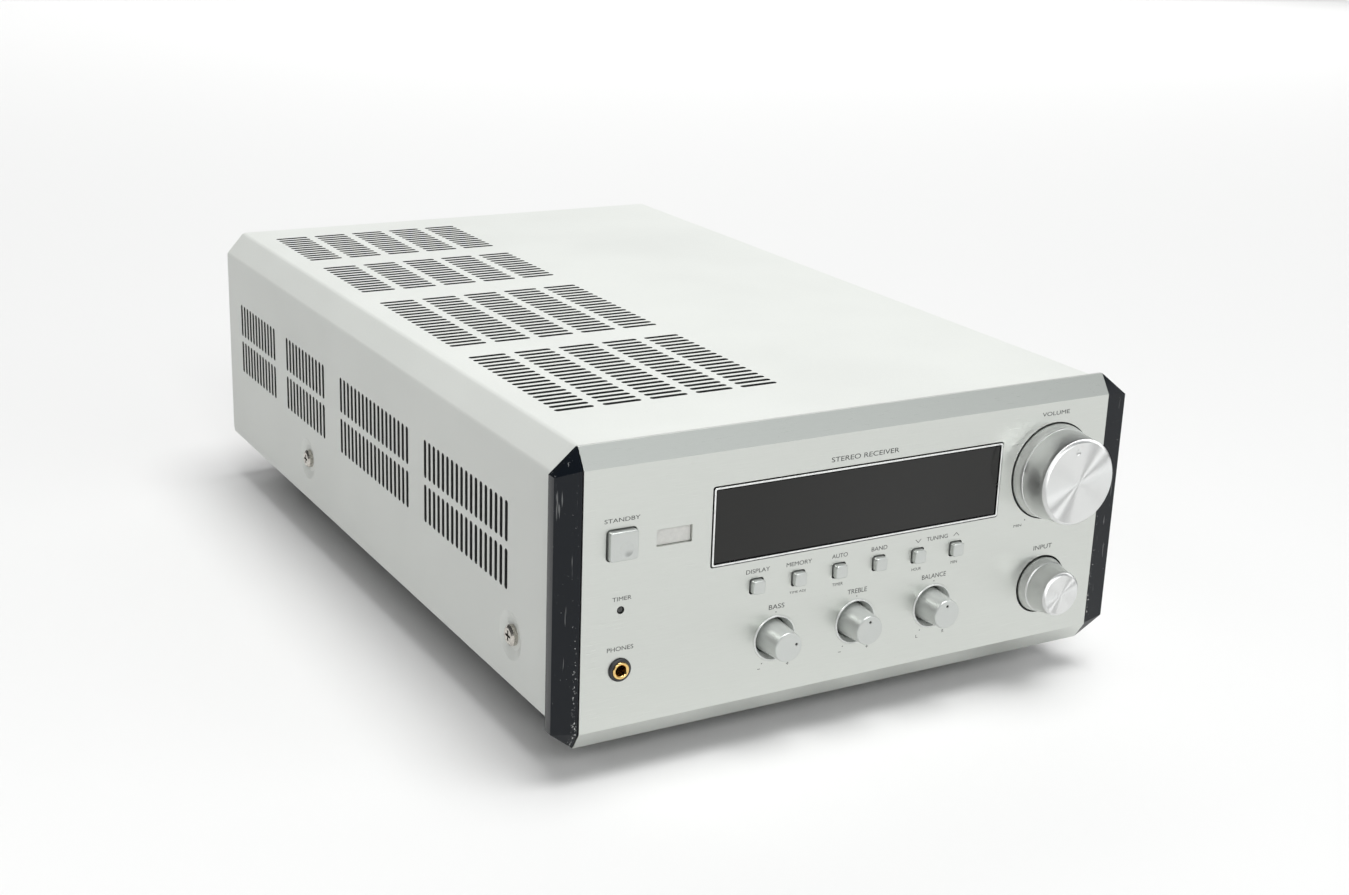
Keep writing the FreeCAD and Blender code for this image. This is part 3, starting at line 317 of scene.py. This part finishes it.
def circuit_board(name, colour):
    """Solder-masked board with faint tracks under the mask."""
    f = Finish(name, colour, roughness=0.35)
    tracks = f.node("TexBrick", Vector=f.place(), Scale=90.0, Mortar_Size=0.03)
    mask = f.maths("MULTIPLY", tracks.outputs["Fac"], 0.8)
    f.feed(f.shader, "Base Color", f.mix(mask, f.colour, scaled(colour, 2.2, lift=0.01)))
    f.bump(f.noise(scale=900.0, detail=2.0), distance_mm=0.02, strength=0.4)
    return f.material


def banded(name, colour, other, roughness, along, depth_mm, strength, metallic=0.0, **wave):
    """Two colours in raised bands that follow each other along one axis."""
    f = Finish(name, colour, roughness, metallic)
    bands = f.node("TexWave", Vector=f.place(), **wave)
    bands.bands_direction = along
    f.feed(f.shader, "Base Color", f.mix(bands.outputs["Fac"], f.colour, other))
    f.bump(bands.outputs["Fac"], depth_mm, strength)
    return f.material


def laminated_core():
    return banded("laminated_core", (0.10, 0.10, 0.11), (0.22, 0.22, 0.23), roughness=0.45,
                  along="Y", depth_mm=0.05, strength=0.6, metallic=0.7,
                  Scale=320.0, Distortion=0.4, Detail=1.0)


def taped_winding():
    return banded("taped_winding", (0.45, 0.30, 0.06), (0.33, 0.20, 0.04), roughness=0.40,
                  along="Z", depth_mm=0.15, strength=0.5,
                  Scale=110.0, Distortion=0.8, Detail=2.0)


def ribbon():
    return banded("ribbon_cable", (0.42, 0.42, 0.43), (0.30, 0.30, 0.31), roughness=0.5,
                  along="X", depth_mm=0.2, strength=0.8, Scale=250.0)


CARRIER_FACE = 1.7 * MM         # the carrier stands out this far, and the insulators further


def phono_inserts():
    """Black carrier with white upper and red lower insulators."""
    f = Finish("phono_carrier", SOFT_BLACK, roughness=0.42)
    outside = f.spread(f.axis("Y"), REAR_Y + CARRIER_FACE, REAR_Y + CARRIER_FACE + 0.1 * MM)
    upper = f.maths("GREATER_THAN", f.axis("Z"), middle("phono_sockets").z)
    insert = f.mix(upper, (0.50, 0.02, 0.02), (0.80, 0.80, 0.77))
    f.feed(f.shader, "Base Color", f.mix(outside, f.colour, insert))
    f.bump(f.noise(scale=2400.0), distance_mm=0.02, strength=0.4)
    return f.material


# ---------------------------------------------------------------- softened edges on CAD nodes
def shading_by_angle(degrees):
    """Node group that shades every face smooth and keeps edges over an angle sharp."""
    tree = bpy.data.node_groups.new("shading_by_angle", "GeometryNodeTree")
    for way in ("INPUT", "OUTPUT"):
        tree.interface.new_socket("Geometry", in_out=way, socket_type="NodeSocketGeometry")
    smooth = tree.nodes.new("GeometryNodeSetShadeSmooth")
    sharp = tree.nodes.new("GeometryNodeSetShadeSmooth")
    sharp.domain = "EDGE"
    sharp.inputs["Shade Smooth"].default_value = False
    angle = tree.nodes.new("GeometryNodeInputMeshEdgeAngle")
    over = tree.nodes.new("FunctionNodeCompare")
    over.operation = "GREATER_THAN"
    over.inputs[1].default_value = math.radians(degrees)
    tree.links.new(tree.nodes.new("NodeGroupInput").outputs[0], smooth.inputs["Geometry"])
    tree.links.new(smooth.outputs[0], sharp.inputs["Geometry"])
    tree.links.new(angle.outputs["Unsigned Angle"], over.inputs[0])
    tree.links.new(over.outputs[0], sharp.inputs["Selection"])
    tree.links.new(sharp.outputs[0], tree.nodes.new("NodeGroupOutput").inputs[0])
    return tree


PLANE_SHADING = shading_by_angle(2.0)
CURVE_SHADING = shading_by_angle(16.0)
FLAT_NODES = ("front_panel", "display_bezel", "left_corner_trim", "right_corner_trim")
SAME_POINT = 0.0005 * MM
SAME_PLANE = math.radians(0.3)
SHARP_EDGE = math.radians(28.0)


def soften(node, width_mm):
    """Small rounded edges. The import leaves faces apart, so they are joined first, and so are
    the triangles of flat faces on the nodes with few curves.
    """
    thing = nodes[node]
    weld = thing.modifiers.new("join_faces", "WELD")
    weld.merge_threshold = SAME_POINT
    if node in FLAT_NODES:
        flat = thing.modifiers.new("join_triangles", "DECIMATE")
        flat.decimate_type = "DISSOLVE"
        flat.angle_limit = SAME_PLANE
    bevel = thing.modifiers.new("edges", "BEVEL")
    bevel.width = width_mm * MM
    bevel.segments = 2
    bevel.limit_method = "ANGLE"
    bevel.angle_limit = SHARP_EDGE
    bevel.use_clamp_overlap = True
    shading = PLANE_SHADING if node == "front_panel" else CURVE_SHADING
    thing.modifiers.new("shading", "NODES").node_group = shading


EDGE_WIDTHS = {
    "front_panel": 0.14, "left_corner_trim": 0.35, "right_corner_trim": 0.35,
    "display_bezel": 0.10, "display_window": 0.15, "sensor_window": 0.12,
    "volume_knob": 0.16, "input_knob": 0.14, "bass_knob": 0.12, "treble_knob": 0.12,
    "balance_knob": 0.12, "headphone_jack": 0.15, "headphone_contact": 0.06, "standby_button": 0.30,
    **dict.fromkeys(BUTTONS, 0.25),
    "mains_inlet": 0.35, "speaker_block": 0.30, "phono_sockets": 0.25, "aerial_socket": 0.15,
    "loop_aerial_socket": 0.25, "feet": 0.40,
}
for node_name, width in EDGE_WIDTHS.items():
    soften(node_name, width)


# ---------------------------------------------------------------- materials on the CAD nodes
def knob_metal(node):
    return turned_metal("turned_" + node, middle(node), KNOB_ALUMINIUM)


black_plastic = moulded_plastic("black_plastic", SOFT_BLACK)
zinc = plated_metal("zinc_plate", (0.62, 0.63, 0.62), roughness=0.34)
nickel = plated_metal("nickel_plate", (0.62, 0.59, 0.54), roughness=0.24, cloud=900.0)
silver_cap = satin_paint("silver_cap", SILVER, metallic=0.8, roughness=0.35)
shaft_steel = plated_metal("shaft_steel", (0.60, 0.60, 0.60), roughness=0.25, cloud=800.0)
trim = gloss_black_trim()
tone_silver = satin_paint("tone_knob_silver", SILVER, metallic=0.55, roughness=0.36)
board = circuit_board("board_green", (0.02, 0.11, 0.05))
red_plastic = moulded_plastic("red_plastic", (0.45, 0.012, 0.012), roughness=0.3)
dark_lever = moulded_plastic("dark_lever", (0.03, 0.03, 0.032), roughness=0.3)

finishes = {
    "top_cover": satin_paint("cover_paint", (0.76, 0.78, 0.745), painted_shade_mask=punched_edges),
    "rear_panel": satin_paint("rear_paint", (0.60, 0.62, 0.59)),
    "front_panel": brushed_metal("brushed_fascia", (0.65, 0.67, 0.637)),
    "display_bezel": plated_metal("bright_aluminium", (0.88, 0.89, 0.88), roughness=0.20, cloud=500.0),
    "display_window": smoked_window(),
    "display_module": moulded_plastic("display_glass", (0.05, 0.06, 0.055), roughness=0.15, grain=300.0),
    "sensor_window": frosted_pane(),
    "timer_led": moulded_plastic("indicator_lens", (0.045, 0.047, 0.045), roughness=0.2, grain=800.0),
    "tone_rings": satin_paint("ring_silver", (0.72, 0.74, 0.72), metallic=0.35, roughness=0.30),
    "volume_knob": knob_metal("volume_knob"),
    "input_knob": knob_metal("input_knob"),
    "headphone_contact": plated_metal("gold_plate", (0.95, 0.66, 0.26), roughness=0.22, cloud=900.0),
    "phono_sockets": phono_inserts(),
    "foot_pads": moulded_plastic("rubber", (0.02, 0.02, 0.02), roughness=0.8, grain=900.0, depth_mm=0.05),
    "transformer_core": laminated_core(),
    "transformer_winding": taped_winding(),
    "heat_sink": plated_metal("sink_aluminium", (0.50, 0.51, 0.52), roughness=0.42),
    "ribbon_cable": ribbon(),
}
SHARED = (
    (trim, ("left_corner_trim", "right_corner_trim")),
    (zinc, ("chassis_base", "front_subframe", "tuner_module", "volume_pot", "input_encoder", "tone_pots")),
    (board, ("front_board", "main_board")),
    (nickel, ("cover_screws", "foot_screws", "phono_shells", "aerial_socket")),
    (red_plastic, ("speaker_lever_right_plus", "speaker_lever_left_plus")),
    (dark_lever, ("speaker_lever_right_minus", "speaker_lever_left_minus")),
    (silver_cap, ("standby_button", *BUTTONS)),
    (tone_silver, TONE_KNOBS),
    (shaft_steel, SHAFTS),
)
for material, names in SHARED:
    finishes.update(dict.fromkeys(names, material))

for name, thing in nodes.items():
    thing.data.materials.clear()
    thing.data.materials.append(finishes.get(name, black_plastic))


# ---------------------------------------------------------------- printed legends on the fascia
PRINT_THICKNESS = 0.012
PRINT_GAP = 0.006               # keeps the print clear of the face below it
STROKE_WIDTH = 0.2
SMALL_DOT = 0.2
INDEX_DOT = 0.48
INDEX_RADIUS = 2.9              # from a tone knob's axis to its index mark
INDEX_DEPTH = 0.3


def flat_text(words):
    """Outline of some words as a mesh in its own XY plane."""
    curve = bpy.data.curves.new("words", "FONT")
    curve.body = words
    holder = bpy.data.objects.new("words", curve)
    bpy.context.scene.collection.objects.link(holder)
    graph = bpy.context.evaluated_depsgraph_get()
    made = bpy.data.meshes.new_from_object(holder.evaluated_get(graph))
    bpy.data.objects.remove(holder)
    return made


class Print:
    """Collects flat marks on a face that looks forward, at y metres. x is in millimetres from
    the fascia's middle and z in millimetres from its foot.
    """

    def __init__(self, name, material, y):
        self.name = name
        self.material = material
        self.y = y
        self.mesh = bmesh.new()

    def point(self, x, z):
        return Vector((x * MM, self.y - PRINT_GAP * MM, (z + FASCIA_FOOT) * MM))

    def polygon(self, corners):
        corners = [self.mesh.verts.new(self.point(x, z)) for x, z in corners]
        self.mesh.faces.new(corners)

    def words(self, text, x0, x1, z0, z1):
        """Words fitted between x0 and x1, with capitals from z0 to z1."""
        flat = flat_text(text)
        xs = [v.co.x for v in flat.vertices]
        ys = [v.co.y for v in flat.vertices]
        low_x, wide = min(xs), max(xs) - min(xs)
        low_y, tall = min(ys), max(ys) - min(ys)
        for v in flat.vertices:
            share = (v.co.x - low_x) / wide
            x = x0 + share * (x1 - x0)
            z = z0 + (v.co.y - low_y) / tall * (z1 - z0)
            v.co = self.point(x, z)
        self.mesh.from_mesh(flat)
        bpy.data.meshes.remove(flat)

    def dot(self, x, z, radius, sides=20):
        turn = 2 * math.pi / sides
        self.polygon([(x + radius * math.cos(i * turn), z + radius * math.sin(i * turn))
                      for i in range(sides)])

    def stroke(self, x0, z0, x1, z1):
        along = Vector((x1 - x0, z1 - z0)).normalized() * (STROKE_WIDTH / 2)
        dx, dz = -along.y, along.x
        self.polygon([(x0 + dx, z0 + dz), (x0 - dx, z0 - dz), (x1 - dx, z1 - dz), (x1 + dx, z1 + dz)])

    def finish(self, body="chassis"):
        """Give the marks their thickness and let them ride on a body."""
        mesh = bpy.data.meshes.new(self.name)
        bmesh.ops.remove_doubles(self.mesh, verts=self.mesh.verts, dist=0.001 * MM)
        faces = self.mesh.faces[:]
        pushed = bmesh.ops.extrude_face_region(self.mesh, geom=faces)
        moved = [g for g in pushed["geom"] if isinstance(g, bmesh.types.BMVert)]
        bmesh.ops.translate(self.mesh, verts=moved, vec=(0, -PRINT_THICKNESS * MM, 0))
        bmesh.ops.recalc_face_normals(self.mesh, faces=self.mesh.faces)
        self.mesh.to_mesh(mesh)
        self.mesh.free()
        thing = bpy.data.objects.new(self.name, mesh)
        mesh.materials.append(self.material)
        bpy.context.scene.collection.objects.link(thing)
        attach(thing, body)


def printing_ink(name, colour):
    f = Finish(name, colour, roughness=0.55)
    f.tint(f.noise(scale=2500.0), scaled(colour, 1.5))
    return f.material


def knob_indices():
    """Black paint in the drilled index mark of each tone knob, turning with its knob."""
    black = printing_ink("index_black", (0.01, 0.01, 0.01))
    for knob, degrees in TONE_REST.items():
        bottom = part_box(knob)[0].y + INDEX_DEPTH * MM
        paint = Print(knob + "_index", black, bottom)
        x, z = middle(knob).x / MM, middle(knob).z / MM - FASCIA_FOOT
        turn = math.radians(degrees)
        paint.dot(x + INDEX_RADIUS * math.sin(turn), z + INDEX_RADIUS * math.cos(turn), INDEX_DOT)
        paint.finish(knob.replace("knob", "control"))


# words, then their left, right, foot and top
LEGENDS = (
    ("STANDBY", -92.6, -80.6, 73.3, 74.6),
    ("TIMER", -89.3, -82.8, 48.0, 49.3),
    ("PHONES", -90.7, -81.7, 31.7, 33.1),
    ("STEREO RECEIVER", -12.9, 13.0, 81.6, 83.2),
    ("DISPLAY", -42.5, -33.8, 48.9, 50.3),
    ("MEMORY", -27.6, -18.1, 48.9, 50.3),
    ("AUTO", -10.4, -4.4, 48.9, 50.3),
    ("BAND", 4.9, 11.1, 48.9, 50.3),
    ("TUNING", 26.9, 35.5, 48.9, 50.3),
    ("TIME ADJ", -26.0, -19.9, 39.3, 40.3),
    ("TIMER", -9.7, -5.6, 39.3, 40.3),
    ("HOUR", 21.6, 25.4, 39.3, 40.3),
    ("MIN", 37.6, 40.2, 39.3, 40.3),
    ("BASS", -33.4, -27.6, 35.4, 37.0),
    ("TREBLE", -3.45, 4.1, 35.4, 37.0),
    ("BALANCE", 26.2, 36.0, 35.4, 37.0),
    ("VOLUME", 71.2, 82.9, 86.1, 87.5),
    ("MIN", 63.2, 66.5, 48.1, 49.0),
    ("INPUT", 73.0, 81.0, 38.2, 39.8),
)
VOLUME_START_DOT = (67.75, 50.2, 0.22)
ARROWS = ((23.5, -1), (39.0, 1))    # the x of each arrow over a tuning button, and its way
ARROW_MIDDLE = 49.6
ARROW_HALF = 0.55
ARROW_ARM = 1.1


def tuning_arrows(marks):
    for x, way in ARROWS:
        tip = ARROW_MIDDLE + ARROW_HALF * way
        for side in (-1, 1):
            marks.stroke(x + side * ARROW_ARM, tip - ARROW_ARM * way, x, tip)


# a tone knob's scale: how far its marks lie beside and above the knob's axis
TOP_DOT = 8.9
END_DOT = (4.4, -8.0)
END_SIGN = (5.4, -9.8)
SIGN_HALF = 0.5
LETTER_HALF = 0.4
LETTER_FOOT = -10.6
LETTER_TOP = -9.5


def tone_scale(marks, knob):
    """Dots at the top and both ends of the scale, with L and R or minus and plus at the ends."""
    x = middle(knob).x / MM
    z = middle("tone_rings").z / MM - FASCIA_FOOT
    sign_z = z + END_SIGN[1]
    marks.dot(x, z + TOP_DOT, SMALL_DOT)
    for side in (-1, 1):
        marks.dot(x + side * END_DOT[0], z + END_DOT[1], SMALL_DOT)
        sign_x = x + side * END_SIGN[0]
        if knob == "balance_knob":
            letter = "LR"[side > 0]
            marks.words(letter, sign_x - LETTER_HALF, sign_x + LETTER_HALF,
                        z + LETTER_FOOT, z + LETTER_TOP)
        else:
            marks.stroke(sign_x - SIGN_HALF, sign_z, sign_x + SIGN_HALF, sign_z)
    if knob != "balance_knob":
        plus_x = x + END_SIGN[0]
        marks.stroke(plus_x, sign_z - SIGN_HALF, plus_x, sign_z + SIGN_HALF)


def fascia_legends():
    ink = printing_ink("grey_ink", (0.028, 0.030, 0.030))
    marks = Print("fascia_legends", ink, FASCIA_Y)
    for words, *extent in LEGENDS:
        marks.words(words, *extent)
    marks.dot(*VOLUME_START_DOT)
    tuning_arrows(marks)
    for knob in TONE_KNOBS:
        tone_scale(marks, knob)
    marks.finish()


fascia_legends()
knob_indices()


# ---------------------------------------------------------------- floor, lights and camera
WHITE = (1.0, 1.0, 1.0)
COOL_WHITE = (0.96, 0.99, 1.0)
FLOOR_HALF = 30.0
FLOOR_DROP = 0.0002             # keeps the floor just under the feet


def studio_floor():
    corners = [(x * FLOOR_HALF, y * FLOOR_HALF, -FLOOR_DROP)
               for x, y in ((-1, -1), (1, -1), (1, 1), (-1, 1))]
    mesh = bpy.data.meshes.new("floor")
    mesh.from_pydata(corners, [], [(0, 1, 2, 3)])
    thing = bpy.data.objects.new("floor", mesh)
    bpy.context.scene.collection.objects.link(thing)
    mesh.materials.append(Finish("floor_white", (0.83, 0.83, 0.825), roughness=0.7).material)


def softbox(name, place, target, size, power, colour=WHITE):
    light = bpy.data.lights.new(name, "AREA")
    light.shape = "RECTANGLE"
    light.size, light.size_y = size
    light.energy = power
    light.color = colour
    thing = bpy.data.objects.new(name, light)
    thing.location = place
    thing.rotation_euler = (Vector(target) - Vector(place)).to_track_quat("-Z", "Y").to_euler()
    bpy.context.scene.collection.objects.link(thing)


def overhead_light(strength, spread, lean):
    """A wide patch of sky, spread degrees across, lean degrees to the front and to the right."""
    light = bpy.data.lights.new("overhead", "SUN")
    light.energy = strength
    light.angle = math.radians(spread)
    thing = bpy.data.objects.new("overhead", light)
    thing.rotation_euler = (math.radians(lean), math.radians(lean), 0.0)
    bpy.context.scene.collection.objects.link(thing)


def studio_world(colour, strength):
    world = bpy.data.worlds.new("studio")
    world.use_nodes = True
    background = world.node_tree.nodes["Background"]
    background.inputs["Color"].default_value = (*colour, 1.0)
    background.inputs["Strength"].default_value = strength
    bpy.context.scene.world = world


CAMERA_PLACE = (-0.33849, -0.62108, 0.28017)
CAMERA_TURN = 30.215            # degrees to the right of straight ahead
CAMERA_TILT = 18.160            # degrees down
CAMERA_ROLL = 2.085
LENS = 50.746


def studio_camera():
    data = bpy.data.cameras.new("camera")
    data.lens = LENS
    data.sensor_width = 36.0
    data.clip_start = 0.01
    thing = bpy.data.objects.new("camera", data)
    turn = Matrix.Rotation(math.radians(-CAMERA_TURN), 4, "Z")
    tilt = Matrix.Rotation(math.radians(90.0 - CAMERA_TILT), 4, "X")
    roll = Matrix.Rotation(math.radians(CAMERA_ROLL), 4, "Z")
    thing.matrix_world = Matrix.Translation(CAMERA_PLACE) @ turn @ tilt @ roll
    bpy.context.scene.collection.objects.link(thing)
    bpy.context.scene.camera = thing


studio_floor()
studio_world((0.97, 0.99, 1.0), 0.09)
overhead_light(strength=2.28, spread=36.0, lean=7.0)
softbox("left_high", (-1.00, -0.30, 1.00), target=(0.0, -0.05, 0.05), size=(1.2, 0.35), power=1.8)
softbox("front_high", (1.20, -1.75, 1.60), target=(0.0, -0.15, 0.1), size=(1.9, 1.9), power=8.4,
        colour=COOL_WHITE)
softbox("camera_high", (-0.62, -1.70, 1.20), target=(0.08, -0.17, 0.09), size=(0.9, 0.5), power=12.0)
softbox("right_low", (1.40, -1.40, 0.50), target=(0.05, -0.16, 0.06), size=(1.3, 0.8), power=3.2)
softbox("back_floor", (0.90, 2.40, 1.60), target=(0.90, 2.41, 0.0), size=(3.4, 2.4), power=20.0)
softbox("back_low", (2.00, 2.20, 0.95), target=(0.0, 0.0, 0.1), size=(3.0, 1.5), power=9.0)
studio_camera()

bpy.context.scene.view_settings.view_transform = "Standard"
